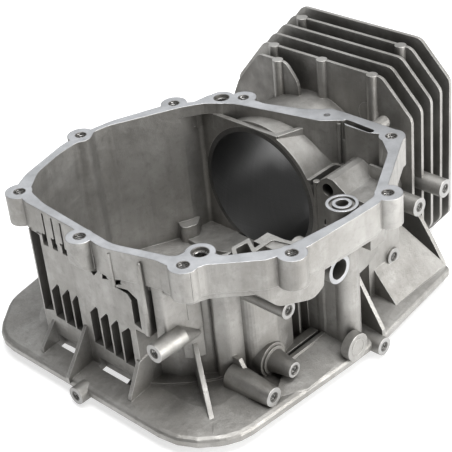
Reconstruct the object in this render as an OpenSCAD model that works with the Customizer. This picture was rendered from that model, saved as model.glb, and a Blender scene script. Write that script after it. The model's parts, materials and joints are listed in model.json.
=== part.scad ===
// Crankcase of a large single-cylinder engine with a vertical crankshaft, die cast in one piece with its
// finned cylinder barrel. It lies with the sump's gasket face up and the flywheel side down.
// The crankshaft's axis is the Z axis, z = 0 is the plane it rests on, and +X runs along the cylinder to the head.

/* [Crankcase] */
// Height of the sump's gasket face above the resting plane
gasket_z = 118; // [112:1:126]
// Depth of the bolting band under the gasket face
band_h = 20; // [16:1:24]
// Thickness of the lower chamber walls
wall_t = 5; // [4:0.5:7]
// Height of the chamber floor's upper side
floor_z = 16; // [14:1:19]
// Thickness of the chamber floor
floor_t = 6; // [4:0.5:8]
// Distance from the crankshaft to the outer face of the ribbed left wall
left_face = 83; // [81:0.5:86]
// Thickness of the webs and gussets
rib_t = 3; // [2:0.5:4]

/* [Gasket face] */
// Radius of the bosses round the sump bolts
bolt_boss_r = 9; // [8:0.5:10]
// Core diameter of the sump bolts' threads
bolt_core_d = 6.8; // [5:0.1:8.5]
// Depth of the sump bolts' threaded holes
bolt_depth = 18; // [14:1:24]
// Metal left between the barrel's sleeve and the hole above it
hole_floor = 2; // [1.5:0.5:4]
// Diameter of the two dowel holes
dowel_d = 10; // [8:0.5:12]
// Depth of the two dowel holes
dowel_depth = 12; // [8:1:16]
// Diameter of the seal groove round the oil passage
seal_d = 17.7; // [16:0.1:20]
// Diameter of the oil passage
oil_d = 7.6; // [6:0.2:9]

/* [Crankshaft bearing] */
// Diameter of the main bearing's bore
main_d = 35; // [30:1:42]
// Height of the main bearing's inner face
main_z = 38; // [30:1:42]
// Diameter of the shaft seal's seat
seal_seat_d = 48; // [44:1:54]
// Depth of the shaft seal's seat
seal_seat_h = 9; // [6:1:11]
// Radius of the main bearing's hub
hub_r = 33; // [30:1:36]

/* [Skirt] */
// Height of the skirt's upper edge
skirt_edge_z = 13.5; // [12:0.5:15]
// Height of the skirt's lower edge
skirt_low_z = 8; // [5:0.5:9]
// Thickness of the skirt's plate and lip
skirt_t = 4; // [3:0.5:5]
// Height to which the skirt rises at the chamber walls
skirt_crown_z = 17; // [16:0.5:19]

/* [Barrel] */
// Diameter of the finished cylinder bore
bore_d = 90; // [86:1:92]
// Thickness of the iron liner
liner_t = 3.5; // [2.5:0.5:4]
// Thickness of the aluminium round the liner
barrel_t = 3; // [2.5:0.5:4]
// Distance from the crankshaft to the lower end of the bore
bore_start = 77; // [74:1:80]
// Distance from the crankshaft to the head's gasket face
head_face = 190; // [187:1:194]
// Height of the cylinder's axis
bore_z = 60.7; // [58:0.1:62]
// Thickness of the head flange behind the last fin
head_t = 10; // [7:0.5:11]

/* [Fins] */
// Distance from the crankshaft to the first full fin
fin_x = 139; // [138:0.5:141]
// Distance from one fin to the next
fin_pitch = 10.6; // [9.5:0.1:11]
// Number of full fins
fin_count = 5; // [4:1:5]
// Thickness of a fin
fin_t = 2.4; // [1.8:0.1:3]
// Height of the first fin's upper edge
fin_top = 138.5; // [134:0.5:142]
// Rise of the upper edge from one fin to the next
fin_rise = 2.8; // [0:0.1:3.5]

/* [Holes] */
// Core diameter of the small threads in the outer bosses
boss_core_d = 5; // [4:0.1:6]
// Depth of the small threads in the outer bosses
boss_depth = 14; // [10:1:18]
// Core diameter of the head bolts' threads
head_core_d = 8.5; // [6.8:0.1:9]
// Depth of the head bolts' threaded holes
head_depth = 32; // [24:1:36]
// Side of the square on which the head bolts stand
head_square = 98; // [96:1:102]
// Diameter of the oil port's hole in the front wall
port_d = 13; // [11:0.5:14]
// Diameter of a tappet's bore
tappet_d = 9; // [8:0.5:11]

/* [Hidden] */
$fn = 40;
cast_color = "#b4b3ae";
iron_color = "#6f7174";
arc_step = 18;
over = 1;

band_z = gasket_z - band_h;
liner_r = bore_d / 2 + liner_t;
barrel_r = liner_r + barrel_t;
floor_under = floor_z - floor_t;

// Corners of the gasket face, inner edge: x, y and rounding radius, counterclockwise from above
inner_path = [
    [103.5, -57, 2], [107.5, -51, 3], [103, -45, 3], [98.8, -39, 3], [85.5, 24.5, 22], [74, 42.5, 12],
    [61, 51.5, 14], [15, 73.6, 12], [3.5, 75.6, 5], [-6, 69.6, 7], [-14, 73.8, 5], [-30, 72, 30],
    [-54, 65, 22], [-71.5, 51.5, 16], [-76.5, 32, 30], [-82.3, -36, 26], [-70.5, -75.6, 7],
    [-52.5, -76.6, 4], [-55, -95, 7], [-28, -119, 18], [18, -126.3, 5], [44, -126, 6], [56, -119.3, 20],
    [90, -101.5, 14], [106.4, -82, 2], [103.6, -75, 3]
];

// Corners of the gasket face, outer edge, without the bolts' bosses
outer_path = [
    [117, -94.5, 8], [117, -38, 14], [105, -18, 9], [97, 8, 12], [97, 30, 8], [86, 48, 6], [72, 49.5, 6],
    [60, 62, 8], [21, 77, 26], [-1, 80.6, 12], [-21, 79.8, 24], [-60, 69.4, 16], [-76, 61, 8],
    [-82, 44, 12], [-84.4, 0, 20], [-88.8, -34, 24], [-79.3, -68, 14], [-79, -90, 8], [-66, -94.6, 6],
    [-43, -118.6, 10], [-20, -128.8, 14], [41, -133.2, 12], [63, -123, 8]
];

// Sump bolts, in the order in which they are tightened round the flange
sump_bolts = [
    [-76.1, 56], [-4.8, 79.7], [62.7, 59.9], [95.7, 25.6], [107.7, -38.1],
    [108.5, -90], [52.4, -130], [-28.8, -125.5], [-73.3, -84.5], [-88.1, -14.1]
];
dowels = [[87.1, 38.1], [-58.5, -83.2]];
oil_at = [27.8, -115.3];

// Corners of the lower chamber's inner wall, whose cam side is wider above the lump
function case_path(cam_side) = concat([
    [bore_start, 51, 3], [61, 51.5, 14], [15, 73.6, 12], [3.5, 75.6, 5], [-6, 69.6, 7], [-14, 73.8, 5],
    [-30, 72, 30], [-54, 65, 22], [-71.5, 51.5, 16], [-73, 34, 6], [-69.5, 16, 20], [-69.5, -79, 62],
    [26.5, -79, 2], [26.5, -103, 6], [38, -106, 6]
], cam_side, [[103.5, -47, 3], [bore_start, -47, 2]]);
low_path = case_path([[44, -101, 6], [52, -81, 8], [103.5, -76, 3]]);
high_path = case_path([[51, -101, 12], [78, -88.5, 14], [103.5, -78, 3]]);
lump_z = 74;
ledge_z = 86;

// Corners of the skirt's edge
skirt_path = [
    [138.5, -110, 6], [134, -60, 4], [128, 60, 30], [96, 92, 34], [-40, 108, 12], [-70, 102, 26], [-102.5,
        76, 34],
    [-102.5, -98.5, 42], [-75, -119, 30], [17, -125, 60], [54, -126, 10], [135, -117, 6]
];

divider_z = gasket_z - 8;
divider_t = 3.5;
post_top = gasket_z - 5;

// Ribbed left wall: pockets as [far y, near y, lower z, upper z at far y, upper z at near y]
left_pockets = [
    [32, 23.2, 37, 57, 65], [22, 13.4, 36, 57, 65], [12.2, 5.4, 36, 57, 64],
    [-4.2, -12.4, 33, 56, 63], [-13.6, -21.6, 32, 55, 62], [-22.8, -30.6, 31, 54, 61], [-32, -41, 30, 53, 60]
];
pocket_depth = 8;
windows = [[8, 34], [-38, -6]];
window_top = 23;

// Notches over the flat panel: [middle y, width, lower z, upper end of the groove above it],
// and the corners of the near ones
left_notches = [[28.5, 5, 94, 116], [19.5, 5, 94, 116], [10.6, 4.6, 94, 116]];
near_notches = [
    [[-10.7, 91], [-11.5, 93], [-19.8, 94.4], [-19, 92.5], [-14.5, 87.5]],
    [[-22.3, 88.6], [-22.8, 94], [-29.7, 94.4], [-28.8, 90.5]],
    [[-32.6, 88.3], [-33.6, 93.6], [-40.7, 95.6], [-39.6, 91.6]]
];

// Outer bosses, each as the middle of its threaded hole's mouth
low_boss = [-44, -117, 20];
collar_boss = [-21.5, -114, 24.6];
bulge_boss = [-29, -120, 76];
rim_boss = [43.8, -131, 9.5];
right_boss = [95.7, -100, 37];
long_boss = [-92, -71, 61];
edge_boss = [-108, -9, 8.7];
shroud_bosses = [[124, -100, bore_z], [153, -100, bore_z]];
shallow_depth = 9;

// Oil port, oil gallery and tappets
port_at = [12.6, -124, 83];
gallery_at = [32, -112];
gallery_r = 8.5;
tappet_y = -66.5;
tappet_heights = [88, 62];

// Geometry of a rounded outline

function unit(v) = v / norm(v);
function turned(v, a) = [v.x * cos(a) - v.y * sin(a), v.x * sin(a) + v.y * cos(a)];
function flat(p) = [p.x, p.y];
function around(path, i) = path[(i + len(path)) % len(path)];

// Points of one rounded corner at p, between its neighbours a and b
function corner(a, p, b) =
    let (
        u = unit(flat(a) - flat(p)),
        v = unit(flat(b) - flat(p)),
        half = acos(u * v) / 2,
        turn = 180 - 2 * half,
        way = -sign(cross(u, v)),
        steps = ceil(turn / arc_step),
        centre = flat(p) + unit(u + v) * p.z / sin(half),
        start = flat(p) + u * p.z / tan(half) - centre
    )
    [for (k = [0 : steps]) centre + turned(start, way * turn * k / steps)];

function rounded(path) = [
    for (i = [0 : len(path) - 1])
        each corner(around(path, i - 1), path[i], around(path, i + 1))
];

// The same corners moved outward by d, with their radii kept concentric
function grown(path, d) = [
    for (i = [0 : len(path) - 1])
        let (
            p = flat(path[i]),
            u = unit(flat(around(path, i - 1)) - p),
            v = unit(flat(around(path, i + 1)) - p),
            way = -sign(cross(u, v)),
            q = p - way * unit(u + v) * d / sin(acos(u * v) / 2)
        )
        [q.x, q.y, max(path[i].z + way * d, 0.6)]
];

module slab(path, z0, z1) {
    translate([0, 0, z0]) linear_extrude(z1 - z0) polygon(rounded(path));
}

// A plate across X, drawn in Y and Z
module plate_x(x, t, points) {
    translate([x - t / 2, 0, 0]) rotate([90, 0, 90]) linear_extrude(t) polygon(points);
}

// A plate across Y, drawn in X and Z
module plate_y(y, t, points) {
    translate([0, y + t / 2, 0]) rotate([90, 0, 0]) linear_extrude(t) polygon(points);
}

module rod_z(at, r, z0, z1) {
    translate([at.x, at.y, z0]) cylinder(h = z1 - z0, r = r);
}

// A rod along X from x0 to x1
module rod_x(y, z, r, x0, x1, r1 = 0) {
    translate([x0, y, z]) rotate([0, 90, 0]) cylinder(h = x1 - x0, r1 = r, r2 = r1 == 0 ? r : r1);
}

// A rod along Y from y0 to y1
module rod_y(x, z, r, y0, y1, r1 = 0) {
    translate([x, y0, z]) rotate([-90, 0, 0]) cylinder(h = y1 - y0, r1 = r, r2 = r1 == 0 ? r : r1);
}

// Bolting band round the gasket face

module band() {
    difference() {
        union() {
            slab(outer_path, band_z, gasket_z);
            for (i = [0 : 8]) rod_z(sump_bolts[i], bolt_boss_r, band_z, gasket_z);
            rod_z(dowels[0], bolt_boss_r, band_z, gasket_z);
            left_bolt_boss();
        }
        slab(inner_path, band_z - over, gasket_z + over);
        // corner of the chamber that runs up under the gasket face
        intersection() {
            slab(high_path, band_z - over, divider_z);
            translate([52, 38, 0]) cube([bore_start - 52, 16, gasket_z]);
        }
    }
    intersection() {
        union() {
            for (d = dowels) rod_z(d, dowel_d / 2 + 4, band_z, gasket_z);
            rod_z(oil_at, seal_d / 2 + 1, band_z, gasket_z);
            for (b = sump_bolts) rod_z(b, bolt_boss_r - 1, band_z, gasket_z);
        }
        slab(outer_path, band_z, gasket_z);
    }
}

// The boss over the ribbed wall slopes back into it
module left_bolt_boss() {
    b = sump_bolts[9];
    intersection() {
        rod_z(b, bolt_boss_r - 0.6, band_z - 4, gasket_z);
        plate_y(b.y, 2 * bolt_boss_r, [
            [-left_face + 6, band_z - 4], [-left_face, band_z - 4], [b.x - bolt_core_d / 2 - 2, band_z + 1.5],
            [b.x - bolt_boss_r, gasket_z - 5], [b.x - bolt_boss_r, gasket_z], [-left_face + 6, gasket_z]
        ]);
    }
}

// Shelf that joins the lower walls to the wider band
module shelf() {
    slab(grown(outer_path, -3), band_z - 5, band_z + 1);
}

// Pocket behind the front webs and the bulge that it makes outside
module front_bulge() {
    intersection() {
        slab(grown(outer_path, -0.8), 60, band_z + 1);
        plate_y(-109, 52, rounded([
            [-54, 104, 1], [-49, 97, 4], [-37, 83.5, 8], [-27, 82.4, 10], [-15, 80.8, 8], [-7.6, 84.6, 4],
            [-5, 104, 1]
        ]));
    }
    plate_x(13.5, 26, [[-82, 69], [-84.5, 71.5], [-108, 92], [-113, band_z + 1], [-82, band_z + 1]]);
}

module front_pocket() {
    intersection() {
        slab([[-11, -76, 1], [-36, -76, 1], [-36, -109, 3], [-24, -115, 4], [-11, -118, 3]], 80, band_z + 3);
        plate_y(-100, 60, [[-37, 102], [-37, 95], [-24, 90], [-11, 88.5], [-11, 102]]);
    }
    plate_x(14, 26, [[-75, 77], [-79, 77], [-103, 96.5], [-106, band_z + 3], [-75, band_z + 3]]);
}

// Walls between the floor and the band

module lower_case() {
    slab(grown(low_path, wall_t), floor_under, ledge_z + 1);
    slab(grown(high_path, wall_t), ledge_z, band_z + 1);
    cam_lump();
    // steps at the foot of the rounded corner
    intersection() {
        rod_z([0, 0], 91, floor_z - 4, floor_z + 2.4);
        translate([-90, -90, 0]) cube([66, 52, gasket_z]);
    }
    left_block();
    front_swell();
    bore_wall();
    pocket_shoulder();
}

// Rounded underside of the cam room's wider storey
module cam_lump() {
    intersection() {
        slab([[38, -112, 2], [56, -108.5, 10], [79, -102, 10], [85, -95, 6], [85, -78, 1], [38, -78, 1]],
            50, band_z + 1);
        plate_y(-96, 40, rounded([
            [38, 100, 1], [38, 56, 1], [64, 53, 8], [76, 54, 9], [83.5, 66, 12], [85, 100, 1]
        ]));
    }
}

// Block behind the ribbed left wall, shorter below the long boss
module left_block() {
    translate([-left_face, -58.5, 62]) cube([22, 102.5, band_z - 61]);
    // pilaster beyond the groove beside the post
    slab([[-left_face + 3, -61.6, 0.5], [-left_face + 4.4, -68.6, 2], [-50, -70, 1], [-50, -61.6, 1]], 56,
        band_z + 1);
    slab([[-62, -60, 1], [-58, -66.5, 3], [-50.5, -70, 1], [-48, -63, 1]], 34, 57);
    translate([-left_face, -46, floor_z - 4]) cube([22, 90, 62 - floor_z + 5]);
}

// Two pilasters of the front wall, the thin ribs of its slots, and the flat panel up to the oil gallery
module front_swell() {
    slab([[-38, -66, 1], [-48.5, -75.5, 2.5], [-43, -83.5, 5], [-31, -86, 1], [-25, -75, 1]], floor_z - 4,
        band_z);
    slab([[-33.5, -78, 1], [-33.5, -92, 7], [-14, -96, 16], [3.6, -92, 2], [3.6, -78, 1]], floor_z - 4,
        band_z);
    for (x = [12, 20.6]) plate_x(x, 1.4, [[-80, floor_z], [-90, floor_z], [-90, 74], [-80, 74]]);
    slab([[20.4, -84, 0.5], [20.4, -90, 0.5], [24.2, -113, 2], [34, -113, 1], [34, -100, 1], [27, -84, 1]],
        floor_under, band_z + 1);
}

module bore_wall() {
    translate([bore_start, -18, floor_under]) cube([wall_t, 70, band_z - floor_under]);
    translate([bore_start, -50, floor_under]) cube([wall_t, 60, bore_z - floor_under]);
}

// Sides of the pocket between the barrel and the band
module pocket_shoulder() {
    intersection() {
        slab(grown(inner_path, wall_t - 1), band_z - 17, band_z + 1);
        translate([41, -125, 0]) cube([80, 180, gasket_z]);
    }
}

module lower_room() {
    slab(low_path, floor_z, ledge_z + 5);
    slab(high_path, ledge_z + 4, gasket_z + over);
    intersection() {
        slab(high_path, lump_z, gasket_z + over);
        translate([-80, -120, lump_z]) cube([156, 200, gasket_z]);
    }
    slab(inner_path, band_z, gasket_z + over);
    intersection() {
        slab(inner_path, band_z - 12, gasket_z + over);
        union() {
            translate([bore_start + wall_t, -60, 0]) cube([50, 120, gasket_z + over]);
            translate([49, -120, 0]) cube([70, 90, gasket_z + over]);
        }
    }
    front_pocket();
}

// Ribbed left wall

module left_wall_cuts() {
    for (p = left_pockets)
        plate_x(-left_face + pocket_depth / 2 - over, pocket_depth + 2 * over,
            [[p[0], p[2]], [p[0], p[3]], [p[1] + 1.5, p[4]], [p[1], p[4] - 1], [p[1], p[2]]]);
    // recess at the far end
    plate_x(-left_face + pocket_depth / 2 - over, pocket_depth + 2 * over,
        [[43, 38], [33.5, 41], [33.5, band_z], [43, band_z + 3]]);
    // bent channel
    plate_x(-left_face + pocket_depth / 2 - over, pocket_depth + 2 * over,
        [[-33, 87.3], [-44.5, 89.6], [-52, 86], [-52, 64], [-46, 66], [-46, 83], [-43.5, 86.6]]);
    // windows through the skirt
    for (w = windows)
        translate([-left_face - 2.6, w[0], skirt_low_z - over]) cube([6.6, w[1] - w[0],
            window_top - skirt_low_z]);
}

module notch_cuts() {
    for (n = left_notches) {
        plate_y(n[0], n[1], [
            [-left_face - 4, n[2] + 6.5], [-left_face + 1, n[2] + 6.5], [-left_face + 6, n[2] + 4],
            [-left_face + 5, n[2]], [-left_face - 4, n[2] - 3]
        ]);
        translate([-left_face - 9, n[0] - n[1] / 2, n[2]]) cube([11, 1.8, n[3] - n[2] + 0.1]);
    }
    for (corners = near_notches) plate_x(-left_face, 10, corners);
    translate([-left_face - 9, -24.2, 93]) cube([8.4, 1.3, 15]);
}

module left_ribs() {
    // rounded post at the wall's near end
    translate([-left_face - 0.3, -58.4, 64]) {
        cylinder(h = post_top - 64, r1 = 2, r2 = 1.3);
        translate([0, 0, post_top - 64]) sphere(r = 1.3);
    }
    plate_y(2.2, 2.6, [[-left_face + 1, 12], [-left_face + 1, 44], [-left_face - 1, 43], [-104, 15],
        [-104, 11]]);
    plate_y(35.8, 2.6, [[-left_face + 1, 12], [-left_face + 1, 34], [-96, 18], [-96, 12]]);
    plate_y(-45, rib_t, [[-left_face + 8, 12], [-left_face + 8, 40], [-left_face - 1, 38], [-95, 16],
        [-95, 12]]);
    // diagonal gusset of the rounded corner
    translate([-54, -63, 0]) rotate(atan2(-36, -24.5))
        plate_y(0, rib_t, [[-5, 12], [-5, 52], [4, 46], [43, 14], [43, 11]]);
}

// Skirt

// Shallow dome over the skirt's outline, lowered by drop and set in by inset
module skirt_dome(inset, drop) {
    hull() {
        slab(grown(skirt_path, -inset), skirt_low_z - (drop > 0 ? over : 0), skirt_edge_z - 2 - drop);
        slab(grown(skirt_path, -inset - 1), skirt_low_z, skirt_edge_z - 0.6 - drop);
        slab(grown(skirt_path, -inset - 3), skirt_low_z, skirt_edge_z + 0.3 - drop);
        slab(grown(skirt_path, -inset - 26), skirt_low_z, skirt_crown_z - drop);
    }
}

module skirt() {
    difference() {
        skirt_dome(0, 0);
        skirt_dome(skirt_t, skirt_t);
    }
}

// Stiffening under the floor round the shaft's hub
module floor_ribs() {
    for (a = [20 : 60 : 320])
        rotate(a) translate([hub_r - 2, -rib_t / 2, 3]) cube([62, rib_t, floor_under - 2]);
}

// Cylinder barrel with its fins

function fin_profile(k) = [
    [-66, 0, 8], [-84, 22.5, 8], [-84, 114 + fin_rise * k, 8], [-60, fin_top + fin_rise * k, 8],
    [42.5, fin_top + fin_rise * k, 8], [69.5, 106 + fin_rise * k, 8], [69.5, 22.5, 8], [52, 0, 8]
];

module fins() {
    for (k = [0 : fin_count - 1])
        plate_x(fin_x + fin_pitch * k, fin_t, rounded(fin_profile(k)));
    plate_x(head_face - head_t / 2, head_t, rounded([
        [-62, 4, 10], [-75, 17, 10], [-75, 106, 10], [-60, 124, 10], [48, 124, 10], [61, 108, 10], [61,
            17, 10], [48, 4, 10]
    ]));
    // half fin next to the band
    plate_x(fin_x - fin_pitch, fin_t, rounded([
        [3, 70, 1], [3.1, 121, 16], [14, 134.5, 9], [39, 134.5, 8], [60, 109, 8], [66, 96, 5], [66, 70, 1]
    ]));
    // columns left by the ejector pins
    for (y = [33.2, -9.8, -52.5]) rod_z([fin_x - 1.2, y], 3.8, 96, fin_top + 0.4);
    for (y = [34, -52]) rod_z([fin_x + 3 * fin_pitch - 1.2, y], 4, 100, fin_top + 3 * fin_rise + 0.4);
    rod_z([fin_x - fin_pitch - 1, 21], 3.8, 100, 134.9);
}

module barrel() {
    difference() {
        rod_x(0, bore_z, barrel_r, bore_start, head_face);
        translate([bore_start - over, -20, divider_z]) cube([divider_t + over, 44, 5]);
    }
    fins();
    for (y = [-1, 1], z = [-1, 1])
        rod_x(y * head_square / 2, bore_z + z * head_square / 2, 8, fin_x - 2, head_face);
    // tunnel of the push rods
    for (z = tappet_heights) rod_x(tappet_y, z, 8.5, 100, head_face);
    // bosses that carry the cooling shroud
    for (b = shroud_bosses) rod_y(b.x, b.z, 6.5, b.y, -40);
}

// Wall between the crank chamber and the pocket over the barrel
module divider() {
    translate([bore_start, -20, 70]) cube([divider_t, 72, divider_z - 70]);
    translate([bore_start + 1, -20.5, 70]) rotate(-19) cube([33, divider_t, divider_z - 70]);
}

// Tappet housing in the cam room
module tappet_box() {
    plate_x(88, 32, [
        [-57, floor_under], [-57, 87], [-60.5, 93.5], [-66, 97], [-71, 96.6], [-82, 89.5], [-98, 88.5],
        [-98, floor_under]
    ]);
    rod_z([bore_start + 1.5, -51.5], 2.2, floor_z - 1, 86.5);
}

// Bent webs in the front pocket
web_path = [
    [-40, -92, 0.5], [-25, -73.5, 3], [-11, -75, 0.5], [-17, -85, 0.5], [-2, -85, 3], [1.5, -100, 8],
        [1.5, -124, 0.5],
    [-1.5, -124, 0.5], [-1.5, -100, 8], [-4.5, -88, 2], [-22, -88, 0.5], [-15.5, -77.6, 0.5], [-24, -76.5, 2],
    [-38, -94, 0.5]
];

module front_webs() {
    slab(web_path, band_z - 4, band_z + 1);
    intersection() {
        slab(web_path, 84, band_z);
        translate([-45, -110, 80]) cube([34.5, 50, band_h]);
    }
}

module front_bosses() {
    // low bosses over the skirt
    rod_y(low_boss.x, low_boss.z, 6.2, low_boss.y, -84, 9);
    plate_x(-41, rib_t, [[-96, 14], [-96, 20], [-88.5, 33.4], [-77, 34.6], [-68, 31], [-68, 14]]);
    rod_y(collar_boss.x, collar_boss.z, 5, collar_boss.y, -96, 8);
    rod_y(collar_boss.x, collar_boss.z, 11.3, -97, -90);
    rod_y(collar_boss.x, collar_boss.z, 9.6, -98.4, -96);
    // boss under the bulge
    rod_y(bulge_boss.x, bulge_boss.z, 5.5, bulge_boss.y, -88);
    // oil gallery with its port and its plugged end
    rod_z(gallery_at, gallery_r, floor_under, band_z + 2);
    rod_y(port_at.x, port_at.z, port_d / 2 + 2.8, port_at.y, -90);
    rod_y(23, 20, 9.3, -127, -121);
    rod_y(rim_boss.x, rim_boss.z, 6, rim_boss.y, -116);
    // long boss of the rounded corner
    rod_x(long_boss.y, long_boss.z, 6, long_boss.x, -70, 6.6);
    hull() {
        rod_x(long_boss.y, long_boss.z, 6.6, -70.5, -70);
        rod_x(-69, 53, 2, -55, -54);
        rod_x(-66, 50, 2, -60, -59);
    }
    // small edge boss
    rod_x(edge_boss.y, edge_boss.z, 6, edge_boss.x, -98);
    // boss of the right plate
    rod_y(right_boss.x, right_boss.z, 6, right_boss.y, -80);
    plate_x(98.6, 1.8, [[-98, 37], [-98, 41], [-96, band_z + 1], [-80, band_z + 1], [-80, 14]]);
    rod_z([80.7, -89.5], 4.5, floor_z - 2, floor_z + 6);
}

// Sloping plates that rise from the skirt's edge, as the corners of their upper side
right_slope = [
    [77, -95.5, 38.8], [77, -115, 15.4], [133, -114.6, 15.9], [117.4, -88.8, 46.8], [98, -87.5, 48.4]
];
front_slope = [
    [-13, -100.5, 20.3], [21.3, -101, 20.3], [24.5, -106, 17.5], [27, -122, 13.5], [-20, -122.5, 13.2],
    [-40, -113, 14.6]
];

// Solid under the given corners, lowered by drop
module slope(corners, drop) {
    hull() for (p = corners, z = [p.z, skirt_low_z + skirt_t]) translate([p.x, p.y, z - drop]) cube(0.1);
}

// The slopes with the rail and the ledge at the wall's foot
module sloping_plates() {
    difference() {
        slope(right_slope, 0);
        slope(right_slope, skirt_t);
        translate([70, -95.4, floor_z]) cube([24.3, 30, 60]);
    }
    slope(front_slope, 0);
    plate_y(-101, 3, [[-12, 12], [-13, 21.4], [21.2, 21.4], [21.2, 12]]);
    plate_y(-94, 6, [[-10, 12], [-10, 21.4], [20.6, 21.4], [20.6, 12]]);
}

module right_plate_ribs() {
    plate_x(78, 2, [[-93, 12], [-93, 38.6], [-95.6, 38.9], [-115, 15.4], [-115, 12]]);
    plate_x(50, rib_t, [[-98, 12], [-98, 58], [-106, 51], [-126, 17], [-126, 12]]);
    plate_x(136.5, rib_t, [
        [-60, 12], [-111.5, 12], [-110.5, 14.6], [-99.4, 32.4], [-91.9, 43.3], [-87, 48], [-60, 52]
    ]);
}

module raised_floor() {
    // lump at the back wall's foot
    slab([[57, 44, 4], [66, 50, 1], [52, 60, 1], [46, 48, 4]], floor_z - 1, 29);
    // step of the floor in front of the bore
    slab([[70, 57, 1], [50, 57, 1], [48, 30, 3], [60, -8, 3], [bore_start, -8, 1], [bore_start, 52, 1]],
        floor_z - 1, 19);
}

module bore_cut() {
    rod_x(0, bore_z, liner_r, bore_start - over, head_face + over);
}

// Lower end of a sump bolt's hole, which stays above the barrel's sleeve
function hole_end(b) =
    let (over_barrel = b.x > bore_start && abs(b.y) < barrel_r)
    max(gasket_z - bolt_depth, over_barrel ? bore_z + sqrt(pow(barrel_r, 2) - pow(b.y, 2)) + hole_floor : 0);

module threaded_holes() {
    for (i = [0 : 9]) if (i != 4) rod_z(sump_bolts[i], bolt_core_d / 2, hole_end(sump_bolts[i]),
        gasket_z + over);
    for (d = dowels) rod_z(d, dowel_d / 2, gasket_z - dowel_depth, gasket_z + over);
    for (y = [-1, 1], z = [-1, 1])
        rod_x(y * head_square / 2, bore_z + z * head_square / 2, head_core_d / 2, head_face - head_depth,
            head_face + over);
    for (b = concat([low_boss, collar_boss, bulge_boss, rim_boss], shroud_bosses))
        rod_y(b.x, b.z, boss_core_d / 2, b.y - over, b.y + boss_depth);
    rod_y(right_boss.x, right_boss.z, boss_core_d / 2, right_boss.y - over, right_boss.y + shallow_depth);
    rod_x(long_boss.y, long_boss.z, boss_core_d / 2, long_boss.x - over, long_boss.x + boss_depth);
    rod_x(edge_boss.y, edge_boss.z, boss_core_d / 2, edge_boss.x - over, edge_boss.x + shallow_depth);
}

module oil_ways() {
    rod_z(oil_at, oil_d / 2, band_z - 2, gasket_z + over);
    rod_z(gallery_at, oil_d / 2, 30, band_z + 6);
    difference() {
        rod_z(oil_at, seal_d / 2 - 1, gasket_z - 1.6, gasket_z + over);
        rod_z(oil_at, oil_d / 2 + 2.2, gasket_z - 3, gasket_z + 2 * over);
    }
    rod_y(port_at.x, port_at.z, port_d / 2, port_at.y - over, port_at.y + 20);
    // slot in the gasket face
    slab([[110.2, -52, 2.2], [108.6, -77.4, 2.2], [103.9, -77, 2.2], [105.5, -51.7, 2.2]],
        gasket_z - 14, gasket_z + over);
}

module tappet_bores() {
    for (z = tappet_heights) rod_x(tappet_y, z, tappet_d / 2, 60, head_face + over);
}

module crankcase_casting() {
    color(cast_color)
    difference() {
        union() {
            difference() {
                union() {
                    lower_case();
                    shelf();
                    front_bulge();
                    skirt();
                }
                lower_room();
                left_wall_cuts();
                notch_cuts();
            }
            difference() {
                band();
                notch_cuts();
            }
            divider();
            barrel();
            left_ribs();
            front_bosses();
            front_webs();
            right_plate_ribs();
            sloping_plates();
            tappet_box();
            raised_floor();
            floor_ribs();
            rod_z([0, 0], hub_r, 0, floor_z);
            rod_z([0, 0], main_d / 2 + 8, floor_z - 1, main_z);
        }
        bore_cut();
        threaded_holes();
        oil_ways();
        tappet_bores();
        rod_z([0, 0], main_d / 2, -over, main_z + over);
        rod_z([0, 0], seal_seat_d / 2, -over, seal_seat_h);
    }
}

module cylinder_liner() {
    color(iron_color)
    difference() {
        rod_x(0, bore_z, liner_r, bore_start, head_face);
        rod_x(0, bore_z, bore_d / 2, bore_start - over, head_face + over);
    }
}

crankcase_casting();
cylinder_liner();
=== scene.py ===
import json
import math

import bpy
from mathutils import Matrix, Vector


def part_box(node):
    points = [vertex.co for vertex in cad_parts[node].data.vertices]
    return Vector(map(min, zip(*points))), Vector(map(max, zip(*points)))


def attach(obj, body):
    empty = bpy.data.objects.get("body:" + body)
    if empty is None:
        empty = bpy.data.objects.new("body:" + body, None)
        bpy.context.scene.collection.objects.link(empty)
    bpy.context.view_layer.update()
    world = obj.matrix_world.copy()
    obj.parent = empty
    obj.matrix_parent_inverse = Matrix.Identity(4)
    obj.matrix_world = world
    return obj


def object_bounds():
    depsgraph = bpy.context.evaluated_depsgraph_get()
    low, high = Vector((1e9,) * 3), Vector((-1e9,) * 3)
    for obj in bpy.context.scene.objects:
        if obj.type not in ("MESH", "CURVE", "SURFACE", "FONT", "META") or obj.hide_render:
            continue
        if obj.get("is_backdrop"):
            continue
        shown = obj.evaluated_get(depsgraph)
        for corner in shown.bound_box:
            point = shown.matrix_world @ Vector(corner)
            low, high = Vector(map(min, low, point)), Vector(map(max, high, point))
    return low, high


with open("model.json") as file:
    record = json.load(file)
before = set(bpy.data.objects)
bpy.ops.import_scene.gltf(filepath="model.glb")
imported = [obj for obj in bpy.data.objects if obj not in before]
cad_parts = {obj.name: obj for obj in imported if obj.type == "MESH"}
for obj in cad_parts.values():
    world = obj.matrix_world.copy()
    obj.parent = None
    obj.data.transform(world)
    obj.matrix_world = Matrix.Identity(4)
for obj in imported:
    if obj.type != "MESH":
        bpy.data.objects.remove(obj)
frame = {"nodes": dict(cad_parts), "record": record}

low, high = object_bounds()
casting = frame["nodes"]["crankcase_casting"]
liner = frame["nodes"]["cylinder_liner"]
mounts = frame["record"]["mounts"]

# Places on the part: these two in metres, as the frame has them, and the rest in millimetres

HEAD_X = high.x
BORE_Z = (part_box("cylinder_liner")[0].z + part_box("cylinder_liner")[1].z) / 2

MM = 0.001
GASKET_Z = 118

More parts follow.
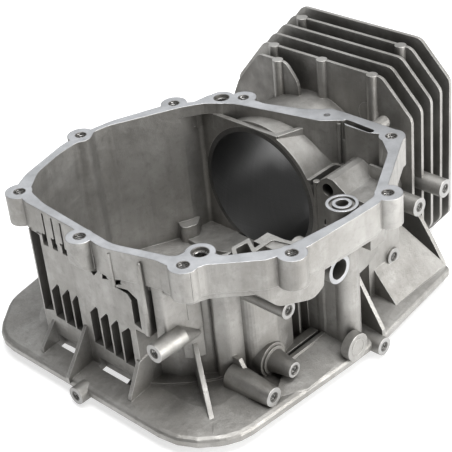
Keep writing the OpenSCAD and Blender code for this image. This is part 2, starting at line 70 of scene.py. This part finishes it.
# Machined end faces of the outer bosses: middle, axis, radius of the cut face
BOSS_FACES = (
    ((-44, -117, 20), "Y", 6.3), ((-21.5, -114, 24.6), "Y", 5.1), ((-29, -120, 76), "Y", 5.6),
    ((43.8, -131, 9.5), "Y", 6.1), ((95.7, -100, 37), "Y", 6.1), ((-92, -71, 61), "X", 6.1),
    ((-108, -9, 8.7), "X", 6.1), ((124, -100, 60.7), "Y", 6.6), ((153, -100, 60.7), "Y", 6.6),
    ((12.6, -124, 83), "Y", 9.4),
)
PLAIN_BOSS_RADIUS = 9  # a wider boss has a large plain hole and is cut bright

# Small unthreaded hole on the gasket face, where the flange passes the barrel, painted as a
# speckled dark spot of shade
BLIND_MARK = (107.7, -38.1, GASKET_Z)
BLIND_MARK_RADIUS = 2.3

# Middle of the short fin in front of the full ones
SHORT_FIN_X = 128.4


# Camera at the photograph's place, worked out from the part's own corners

CAMERA_AT = Vector((-463.1, -531.9, 514.3)) * MM
CAMERA_YAW = 0.8094
CAMERA_DIP = 0.5646
CAMERA_ROLL = -0.1027
FOCAL_PIXELS = 1291.2
IMAGE_SIDE = 452
CENTRE_PIXEL = (227.5, 228.2)
SENSOR_MM = 36
NEAREST_SEEN = 0.01


def add_camera():
    ahead = Vector((
        math.cos(CAMERA_YAW) * math.cos(CAMERA_DIP),
        math.sin(CAMERA_YAW) * math.cos(CAMERA_DIP),
        -math.sin(CAMERA_DIP),
    ))
    level = ahead.cross(Vector((0, 0, 1))).normalized()
    upright = level.cross(ahead)
    right = level * math.cos(CAMERA_ROLL) + upright * math.sin(CAMERA_ROLL)
    up = upright * math.cos(CAMERA_ROLL) - level * math.sin(CAMERA_ROLL)
    data = bpy.data.cameras.new("camera")
    data.sensor_width = SENSOR_MM
    data.lens = FOCAL_PIXELS / IMAGE_SIDE * SENSOR_MM
    data.shift_x = (IMAGE_SIDE / 2 - CENTRE_PIXEL[0]) / IMAGE_SIDE
    data.shift_y = (CENTRE_PIXEL[1] - IMAGE_SIDE / 2) / IMAGE_SIDE
    data.clip_start = NEAREST_SEEN
    camera = bpy.data.objects.new("camera", data)
    camera.matrix_world = Matrix((
        (right.x, up.x, -ahead.x, CAMERA_AT.x),
        (right.y, up.y, -ahead.y, CAMERA_AT.y),
        (right.z, up.z, -ahead.z, CAMERA_AT.z),
        (0, 0, 0, 1),
    ))
    bpy.context.collection.objects.link(camera)
    bpy.context.scene.camera = camera


# Node helpers for the materials

MIX_A, MIX_B, MIX_RESULT = 6, 7, 2  # the colour sockets of Blender's Mix node


class Shader:
    """A material's node tree, with short calls for what the materials share."""

    def __init__(self, name):
        self.material = bpy.data.materials.new(name)
        self.material.use_nodes = True
        self.tree = self.material.node_tree
        self.surface = self.tree.nodes["Principled BSDF"]
        self.place = self.node("ShaderNodeTexCoord").outputs["Object"]

    def node(self, kind, **settings):
        made = self.tree.nodes.new(kind)
        for key, value in settings.items():
            setattr(made, key, value)
        return made

    def feed(self, socket, value):
        if isinstance(value, bpy.types.NodeSocket):
            self.tree.links.new(value, socket)
        else:
            socket.default_value = value

    def set(self, name, value):
        """Feeds the named socket of the material's surface."""
        self.feed(self.surface.inputs[name], value)

    def math(self, operation, *values):
        made = self.node("ShaderNodeMath", operation=operation)
        for socket, value in zip(made.inputs, values):
            self.feed(socket, value)
        return made.outputs[0]

    def times(self, a, b):
        return self.math("MULTIPLY", a, b)

    def vector_math(self, operation, a, b, result="Vector"):
        made = self.node("ShaderNodeVectorMath", operation=operation)
        self.feed(made.inputs[0], a)
        self.feed(made.inputs[1], b)
        return made.outputs[result]

    def noise(self, scale, detail, rough, place=None):
        made = self.node("ShaderNodeTexNoise")
        self.feed(made.inputs["Vector"], place or self.place)
        made.inputs["Scale"].default_value = scale
        made.inputs["Detail"].default_value = detail
        made.inputs["Roughness"].default_value = rough
        return made.outputs["Fac"]

    def ramp(self, value, start, end, low=0.0, high=1.0):
        made = self.node("ShaderNodeMapRange")
        for socket, number in zip(made.inputs, (value, start, end, low, high)):
            self.feed(socket, number)
        return made.outputs["Result"]

    def mix(self, factor, a, b):
        made = self.node("ShaderNodeMix", data_type="RGBA")
        self.feed(made.inputs["Factor"], factor)
        self.feed(made.inputs[MIX_A], a)
        self.feed(made.inputs[MIX_B], b)
        return made.outputs[MIX_RESULT]

    def tint(self, tone, colour, most, value, start, end):
        """The tone, with up to a share of most of the colour as value goes from start to end."""
        return self.mix(self.ramp(value, start, end, 0, most), tone, colour)

    def axis(self, vector, name):
        made = self.node("ShaderNodeSeparateXYZ")
        self.feed(made.inputs[0], vector)
        return made.outputs[name]

    def near(self, value, target, reach):
        """1 where value lies within reach of target, else 0."""
        away = self.math("ABSOLUTE", self.math("SUBTRACT", value, target))
        return self.math("LESS_THAN", away, reach)

    def within(self, middle, radius):
        """1 inside the ball of the given radius round middle, both in metres, else 0."""
        away = self.vector_math("DISTANCE", self.place, middle, "Value")
        return self.math("LESS_THAN", away, radius)

    def bump(self, height, distance, strength, base=None):
        made = self.node("ShaderNodeBump")
        made.inputs["Strength"].default_value = strength
        made.inputs["Distance"].default_value = distance
        self.feed(made.inputs["Height"], height)
        if base is not None:
            self.feed(made.inputs["Normal"], base)
        return made.outputs["Normal"]


# Colours of the casting

SKIN_DARK = (0.27, 0.262, 0.247, 1)
SKIN_LIGHT = (0.4, 0.393, 0.378, 1)
FLOW_STREAK = (0.19, 0.182, 0.17, 1)
PALE_PATCH = (0.5, 0.494, 0.48, 1)
PORE = (0.2, 0.194, 0.184, 1)
PAINTED_GLINT = (0.5, 0.495, 0.48, 1)
PAINTED_SHADE = (0.1, 0.094, 0.085, 1)
FIN_SHADE = (0.12, 0.114, 0.106, 1)
ARRIS_WEAR_AND_HIGHLIGHT = (0.62, 0.615, 0.6, 1)
CUT_DARK = (0.36, 0.365, 0.375, 1)
CUT_LIGHT = (0.48, 0.486, 0.5, 1)
BOLT_RIM = (0.16, 0.155, 0.15, 1)
HOLE_SHADE = (0.1, 0.097, 0.093, 1)

# How squarely a face looks along an axis, and how near to its plane it lies, to count as cut
SQUARELY = 0.9
FACE_REACH = 0.3 * MM
BOSS_REACH = 0.2 * MM
SHORT_FIN_REACH = 3 * MM

# How much of the cut faces' colour and gloss the bosses have
WIDE_BOSS_CUT = 0.9
SMALL_BOSS_CUT = 0.3

COUNTERSINK_RADIUS = 3.4 * MM
BOLT_RIM_WIDTH = 0.6 * MM
ARRIS_RADIUS = 0.7 * MM
SHADE_REACH = 16 * MM
STREAK_STRETCH = (1, 1, 0.12)  # the streaks run up and down


def boss_masks(s, places, facings):
    """Two masks: the bosses' cut end faces, and the painted shade of countersinks round the small
    ones' holes.
    """
    cut, countersink_shade = 0.0, 0.0
    for middle, way, radius in BOSS_FACES:
        spot = tuple(v * MM for v in middle)
        index = "XY".index(way)
        face = s.times(s.near(places[index], spot[index], BOSS_REACH), s.within(spot, radius * MM))
        face = s.times(face, s.math("LESS_THAN", facings[index], -SQUARELY))
        wide = radius > PLAIN_BOSS_RADIUS
        cut = s.math("MAXIMUM", cut, s.times(face, WIDE_BOSS_CUT if wide else SMALL_BOSS_CUT))
        if not wide:
            hole = s.times(face, s.within(spot, COUNTERSINK_RADIUS))
            countersink_shade = s.math("MAXIMUM", countersink_shade, hole)
    return cut, countersink_shade


def cast_material():
    """Die-cast aluminium with its machined faces."""
    s = Shader("cast_aluminium")
    places = [s.axis(s.place, n) for n in "XYZ"]
    true_normal = s.node("ShaderNodeNewGeometry").outputs["True Normal"]
    turned = s.node(
        "ShaderNodeVectorTransform",
        vector_type="NORMAL", convert_from="WORLD", convert_to="OBJECT")
    s.feed(turned.inputs[0], true_normal)
    facings = [s.axis(turned.outputs[0], n) for n in "XYZ"]

    # machined faces: sump gasket, head gasket and the ends of the bosses
    on_gasket = s.times(
        s.near(places[2], GASKET_Z * MM, FACE_REACH), s.math("GREATER_THAN", facings[2], SQUARELY))
    on_head = s.times(
        s.near(places[0], HEAD_X, FACE_REACH), s.math("GREATER_THAN", facings[0], SQUARELY))
    bosses, countersink_shade = boss_masks(s, places, facings)
    machined = s.math("MAXIMUM", s.math("MAXIMUM", on_gasket, on_head), bosses)

    # bright arrises, partly wear and partly painted highlight, and painted shade in the corners
    edges = s.node("ShaderNodeBevel", samples=8)
    edges.inputs["Radius"].default_value = ARRIS_RADIUS
    turn = s.vector_math("DOT_PRODUCT", edges.outputs["Normal"], true_normal, "Value")
    open_sky = s.node("ShaderNodeAmbientOcclusion", samples=8)
    open_sky.inputs["Distance"].default_value = SHADE_REACH
    openness = open_sky.outputs["AO"]
    arris_wear_and_highlight = s.times(s.ramp(turn, 0.995, 0.85), s.ramp(openness, 0.6, 0.85))

    # skin of the casting: soft blotches, flow marks, pores and painted glints on the fine grain
    fine = s.noise(260, 3, 0.6)
    grain = s.noise(1400, 2, 0.7)
    streak = s.noise(110, 4, 0.65, s.vector_math("MULTIPLY", s.place, STREAK_STRETCH))
    tone = s.mix(s.ramp(s.noise(18, 4, 0.6), 0.35, 0.68), SKIN_DARK, SKIN_LIGHT)
    tone = s.tint(tone, FLOW_STREAK, 0.4, streak, 0.5, 0.75)
    tone = s.tint(tone, PALE_PATCH, 0.35, s.noise(75, 5, 0.7), 0.52, 0.7)
    tone = s.tint(tone, PORE, 0.35, fine, 0.52, 0.75)
    tone = s.tint(tone, PAINTED_GLINT, 0.25, grain, 0.6, 0.8)
    # painted shade: darker where ambient occlusion finds the surface hemmed in
    tone = s.tint(tone, PAINTED_SHADE, 0.7, openness, 0.8, 0.25)

    # painted shade: the short fin's broad face is darker than the rest
    painted_fin_shade = s.times(
        s.near(places[0], SHORT_FIN_X * MM, SHORT_FIN_REACH),
        s.math("LESS_THAN", facings[0], -SQUARELY))
    painted_fin_shade = s.times(painted_fin_shade, s.ramp(s.noise(40, 4, 0.6), 0.3, 0.7, 0.25, 0.8))
    tone = s.mix(painted_fin_shade, tone, FIN_SHADE)
    # bright arrises: partly wear, partly painted highlight on the edges that catch the light
    tone = s.mix(s.times(arris_wear_and_highlight, 0.5), tone, ARRIS_WEAR_AND_HIGHLIGHT)

    # cut metal, with dark rims round the bolt and dowel holes
    bright = s.mix(s.ramp(s.noise(60, 4, 0.6), 0.35, 0.65), CUT_DARK, CUT_LIGHT)
    for mount in mounts:
        if mount["name"].startswith(("sump_bolt", "dowel")):
            ring = s.within(tuple(mount["pos_m"]), mount["dims"]["r_mm"] * MM + BOLT_RIM_WIDTH)
            bright = s.mix(ring, bright, BOLT_RIM)
    # painted shade of the small blind hole on the gasket face, speckled
    blind_hole_shade = s.times(
        s.within(tuple(v * MM for v in BLIND_MARK), BLIND_MARK_RADIUS * MM),
        s.ramp(s.noise(1300, 2, 0.6), 0.4, 0.55, 0.35, 1))
    bright = s.mix(blind_hole_shade, bright, HOLE_SHADE)
    # painted shade in the countersinks of the small boss holes
    s.set("Base Color", s.mix(countersink_shade, s.mix(machined, tone, bright), HOLE_SHADE))
    s.set("Metallic", 0.85)

    rough_skin = s.ramp(s.noise(90, 3, 0.6), 0.3, 0.7, 0.42, 0.6)
    rough_cut = s.ramp(fine, 0.3, 0.7, 0.34, 0.44)
    as_cast = s.times(rough_skin, s.math("SUBTRACT", 1.0, machined))
    s.set("Roughness", s.math("ADD", as_cast, s.times(rough_cut, machined)))
    rounded = s.bump(grain, 0.2 * MM, 0.6, edges.outputs["Normal"])
    s.set("Normal", s.bump(fine, 0.5 * MM, 0.4, rounded))
    return s.material


BORE_RADIUS = 45 * MM
HONE_SLOPE = 0.7
HONE_LINES = 1500  # scale of the noise across the honing lines, and along the bore
HONE_LENGTHS = 30
IRON_DARK = (0.13, 0.13, 0.13, 1)
IRON_LIGHT = (0.26, 0.26, 0.258, 1)


def iron_material():
    """Honed iron of the liner, with fine lines that cross."""
    s = Shader("honed_iron")
    along, y, z = (s.axis(s.place, n) for n in "XYZ")
    angle = s.math("ARCTAN2", s.math("SUBTRACT", z, BORE_Z), y)
    turn = s.times(angle, BORE_RADIUS)
    heights = []
    for way in (-1, 1):
        line = s.math("ADD", along, s.times(turn, HONE_SLOPE * way))
        joined = s.node("ShaderNodeCombineXYZ")
        s.feed(joined.inputs[0], s.times(line, HONE_LINES))
        s.feed(joined.inputs[1], s.times(along, HONE_LENGTHS))
        heights.append(s.noise(1, 2, 0.5, joined.outputs[0]))
    hone = s.times(s.math("ADD", heights[0], heights[1]), 0.5)
    s.set("Base Color", s.mix(hone, IRON_DARK, IRON_LIGHT))
    s.set("Metallic", 1.0)
    s.set("Roughness", s.ramp(hone, 0.3, 0.7, 0.32, 0.45))
    s.set("Normal", s.bump(hone, 0.04 * MM, 0.6))
    return s.material


def cut_material():
    """Freshly cut aluminium of the threads and the dowel holes."""
    s = Shader("cut_aluminium")
    tone = s.ramp(s.noise(900, 2, 0.5), 0.3, 0.7)
    s.set("Base Color", s.mix(tone, (0.4, 0.395, 0.385, 1), (0.66, 0.65, 0.64, 1)))
    s.set("Metallic", 1.0)
    s.set("Roughness", s.ramp(tone, 0, 1, 0.24, 0.36))
    return s.material


def paint(obj, material):
    obj.data.materials.clear()
    obj.data.materials.append(material)
    for face in obj.data.polygons:
        face.material_index = 0


def make_piece(name, points, faces, material):
    """A piece that rides on the part, from points in metres."""
    mesh = bpy.data.meshes.new(name)
    mesh.from_pydata(points, [], faces)
    mesh.materials.append(material)
    piece = bpy.data.objects.new(name, mesh)
    bpy.context.collection.objects.link(piece)
    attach(piece, "root")


# Small forms on the casting, in millimetres

# Ridges: both ends, way out of the wall, half width and height
SEAMS = (
    ((-76.1, -93.0, 117.8), (-76.2, -93.05, 98.6), (-0.32, -0.95, 0), 0.3, 0.3),
    ((-61.0, -69.4, 95), (-61.3, -69.45, 66), (-0.05, -1, 0), 0.3, 0.3),
    ((-80.5, -101.2, 15.05), (-83.8, -104.5, 14.25), (-0.1, -0.1, 0.99), 0.35, 0.25),
    ((-83.8, -104.5, 14.25), (-87.4, -107.9, 12.65), (-0.3, -0.3, 0.9), 0.35, 0.25),
)
WALL_RIBS = (
    ((-87.55, -38.2, 115.2), (-87.8, -39, 92), (-0.99, -0.17, 0), 1.0, 0.9),
    ((106.1, -49.2, 116), (106.1, -49.2, 85), (-0.8, -0.6, 0), 1.5, 1.3),
)

# Section of every ridge: across, in half widths, and out, in heights. Its foot is in the wall.
RIDGE_SECTION = ((-1, -0.5), (-0.8, 0.5), (-0.35, 1), (0.35, 1), (0.8, 0.5), (1, -0.5))

# Turned forms: middle, way out, radius and height of each corner of the section.
# The first is the ring on the plugged end of the oil gallery, the second the lug on the
# flange's outer side.
PLUG_RING = ((23, -127, 20), (0, -1, 0), ((6.3, -0.2), (6.0, 0.3), (5.3, 0.3), (5.0, -0.2)))
FLANGE_LUG = (
    (116.5, -68, 112), (1, 0, 0),
    ((0.05, 14.5), (3.5, 14.5), (4.1, 14.2), (4.4, 13.5), (4.5, 0), (0.05, 0)),
)
RING_STEPS = 64

# Steps in a dowel hole: radius, compared with the hole's, and height of each corner
DOWEL_STEPS = ((0.2, -2.2), (-1.1, -2.4), (-1.4, -2.8), (-1.4, -6), (0.2, -6))

# Wall at the back corner of the chamber, under the gasket flange: outline and height
CORNER_WALL = (
    (67.5, 51.35), (73.8, 51.1), (76.2, 50.0), (76.9, 49.0), (76.95, 52.3), (75.8, 54.2),
    (73.5, 55.4), (70.5, 55.2), (68.6, 53.4),
)
CORNER_WALL_Z = (96.8, 110.5)


def add_ridges(name, ridges, material):
    """Low rounded ridges along straight lines."""
    points, faces = [], []
    count = len(RIDGE_SECTION)
    for start, end, outward, half, height in ridges:
        start, end, outward = Vector(start), Vector(end), Vector(outward).normalized()
        side = (end - start).cross(outward).normalized()
        first = len(points)
        for at in (start, end):
            for across, out in RIDGE_SECTION:
                points.append((at + side * across * half + outward * out * height) * MM)
        for k in range(count):
            after = (k + 1) % count
            faces.append((first + k, first + after, first + count + after, first + count + k))
        faces.append(tuple(first + count - 1 - k for k in range(count)))
        faces.append(tuple(first + count + k for k in range(count)))
    make_piece(name, points, faces, material)


def add_rings(name, rings, material):
    """Closed forms, each turned from its section round an axis."""
    points, faces = [], []
    for middle, outward, section in rings:
        outward = Vector(outward).normalized()
        side = outward.orthogonal().normalized()
        other = outward.cross(side)
        first, count = len(points), len(section)
        for step in range(RING_STEPS):
            angle = 2 * math.pi * step / RING_STEPS
            away = side * math.cos(angle) + other * math.sin(angle)
            for radius, height in section:
                points.append((Vector(middle) + away * radius + outward * height) * MM)
        for step in range(RING_STEPS):
            a, b = first + step * count, first + (step + 1) % RING_STEPS * count
            for k in range(count):
                after = (k + 1) % count
                faces.append((a + k, a + after, b + after, b + k))
    make_piece(name, points, faces, material)


def add_prism(name, outline, heights, material):
    """An upright solid of the given outline."""
    count = len(outline)
    points = [Vector((px, py, pz)) * MM for pz in heights for px, py in outline]
    faces = [(k, (k + 1) % count, count + (k + 1) % count, count + k) for k in range(count)]
    faces += [tuple(range(count - 1, -1, -1)), tuple(range(count, 2 * count))]
    make_piece(name, points, faces, material)


def add_small_forms(skin, cut):
    add_ridges("die_seams", SEAMS, skin)
    add_ridges("wall_ribs", WALL_RIBS, skin)
    add_rings("gallery_plug_ring", (PLUG_RING,), skin)
    add_rings("flange_lug", (FLANGE_LUG,), skin)
    add_prism("corner_wall", CORNER_WALL, CORNER_WALL_Z, skin)
    steps = []
    for mount in mounts:
        if mount["name"].startswith("dowel"):
            hole = mount["dims"]["r_mm"]
            section = [(hole + wider, height) for wider, height in DOWEL_STEPS]
            steps.append(([v / MM for v in mount["pos_m"]], mount["axis"], section))
    add_rings("dowel_steps", steps, cut)


# Threads on the walls of the plain holes that the solids have

THREAD_STEPS = 20

# A ridge's half width and depth as shares of the pitch, and how far its foot and its lowest
# crest lie in the wall
THREAD_HALF_WIDTH = 0.4
THREAD_DEPTH = 0.28
THREAD_FOOT = 0.1 * MM
THREAD_LOW_CREST = 0.05 * MM

SUMP_PITCH_MM = 1.25
SUMP_TURNS_SHORT = 1.5  # the threads end this many turns before the hole does

# The small holes in the ends of the bosses: radius, pitch and turns
SMALL_RADIUS = 2.5 * MM
SMALL_PITCH = 1 * MM
SMALL_TURNS = 7
INWARDS = {"X": (1, 0, 0), "Y": (0, 1, 0)}


def add_thread(points, faces, mouth, inward, radius, pitch, turns):
    """A helical ridge on the wall of the hole at mouth, all in metres."""
    along = Vector(inward).normalized()
    side = along.orthogonal().normalized()
    other = along.cross(side)
    start = len(points)
    count = int(THREAD_STEPS * turns)
    for k in range(count + 1):
        angle = 2 * math.pi * k / THREAD_STEPS
        out = side * math.cos(angle) + other * math.sin(angle)
        at = Vector(mouth) + along * pitch * (k / THREAD_STEPS + 0.5)
        fade = min(1, k / THREAD_STEPS, (count - k) / THREAD_STEPS)
        points.append(at + out * (radius + THREAD_FOOT) - along * pitch * THREAD_HALF_WIDTH)
        points.append(at + out * (radius + THREAD_LOW_CREST - pitch * THREAD_DEPTH * fade))
        points.append(at + out * (radius + THREAD_FOOT) + along * pitch * THREAD_HALF_WIDTH)
    for k in range(count):
        a, b = start + 3 * k, start + 3 * k + 3
        for i, j in ((0, 1), (1, 2), (2, 0)):
            faces.append((a + i, b + i, b + j, a + j))
    faces.append((start, start + 1, start + 2))
    last = start + 3 * count
    faces.append((last + 2, last + 1, last))


def add_threads(name, holes, material):
    points, faces = [], []
    for hole in holes:
        add_thread(points, faces, *hole)
    make_piece(name, points, faces, material)


def add_all_threads(material):
    sump = []
    for mount in mounts:
        if mount["kind"] == "threaded_hole":
            size = mount["dims"]
            inward = [-v for v in mount["axis"]]
            turns = size["length_mm"] / SUMP_PITCH_MM - SUMP_TURNS_SHORT
            sump.append((mount["pos_m"], inward, size["r_mm"] * MM, SUMP_PITCH_MM * MM, turns))
    add_threads("sump_bolt_threads", sump, material)
    small = []
    for middle, way, radius in BOSS_FACES:
        if radius < PLAIN_BOSS_RADIUS:
            mouth = [v * MM for v in middle]
            small.append((mouth, INWARDS[way], SMALL_RADIUS, SMALL_PITCH, SMALL_TURNS))
    add_threads("boss_threads", small, material)


# Floor, light and surroundings, in metres

FLOOR_REACH = 3.0
FLOOR_GREY = 0.5
FLOOR_ROUGHNESS = 0.9
FLOOR_GLOW = 0.66
WORLD_GLOW = 0.2
PART_MIDDLE = (0.04, 0, 0.06)

# Square softboxes: place, target, side, power and colour
LIGHTS = {
    "back_softbox": ((0.95, 1.05, 1.15), PART_MIDDLE, 1.1, 5, (0.96, 0.98, 1)),
    "front_softbox": ((0.2, -0.85, 0.3), (0.02, -0.1, 0.05), 0.6, 5.5, (1, 0.985, 0.96)),
    "low_softbox": ((0.6, -1.45, 0.2), PART_MIDDLE, 0.9, 10, (1, 1, 1)),
    "top_softbox": ((0.05, -0.35, 1.7), PART_MIDDLE, 1.3, 44, (1, 1, 1)),
}


def add_floor():
    corners = ((-1, -1), (1, -1), (1, 1), (-1, 1))
    mesh = bpy.data.meshes.new("floor")
    points = [(px * FLOOR_REACH, py * FLOOR_REACH, low.z) for px, py in corners]
    mesh.from_pydata(points, [], [(0, 1, 2, 3)])
    floor = bpy.data.objects.new("floor", mesh)
    bpy.context.collection.objects.link(floor)
    s = Shader("floor")
    s.set("Base Color", (FLOOR_GREY, FLOOR_GREY, FLOOR_GREY, 1))
    s.set("Roughness", FLOOR_ROUGHNESS)
    s.set("Emission Color", (1, 1, 1, 1))
    s.set("Emission Strength", FLOOR_GLOW)
    mesh.materials.append(s.material)
    floor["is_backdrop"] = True


def add_lights():
    for name, (at, target, side, power, colour) in LIGHTS.items():
        data = bpy.data.lights.new(name, "AREA")
        data.shape = "SQUARE"
        data.size = side
        data.energy = power
        data.color = colour
        light = bpy.data.objects.new(name, data)
        light.location = at
        light.rotation_mode = "QUATERNION"
        light.rotation_quaternion = (Vector(target) - Vector(at)).to_track_quat("-Z", "Y")
        bpy.context.collection.objects.link(light)


def add_surroundings():
    world = bpy.data.worlds.new("world")
    world.use_nodes = True
    background = world.node_tree.nodes["Background"]
    background.inputs["Color"].default_value = (1, 1, 1, 1)
    background.inputs["Strength"].default_value = WORLD_GLOW
    bpy.context.scene.world = world
    bpy.context.scene.view_settings.view_transform = "Standard"


add_camera()
skin = cast_material()
cut = cut_material()
paint(casting, skin)
paint(liner, iron_material())
add_small_forms(skin, cut)
add_all_threads(cut)
add_floor()
add_lights()
add_surroundings()

low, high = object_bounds()
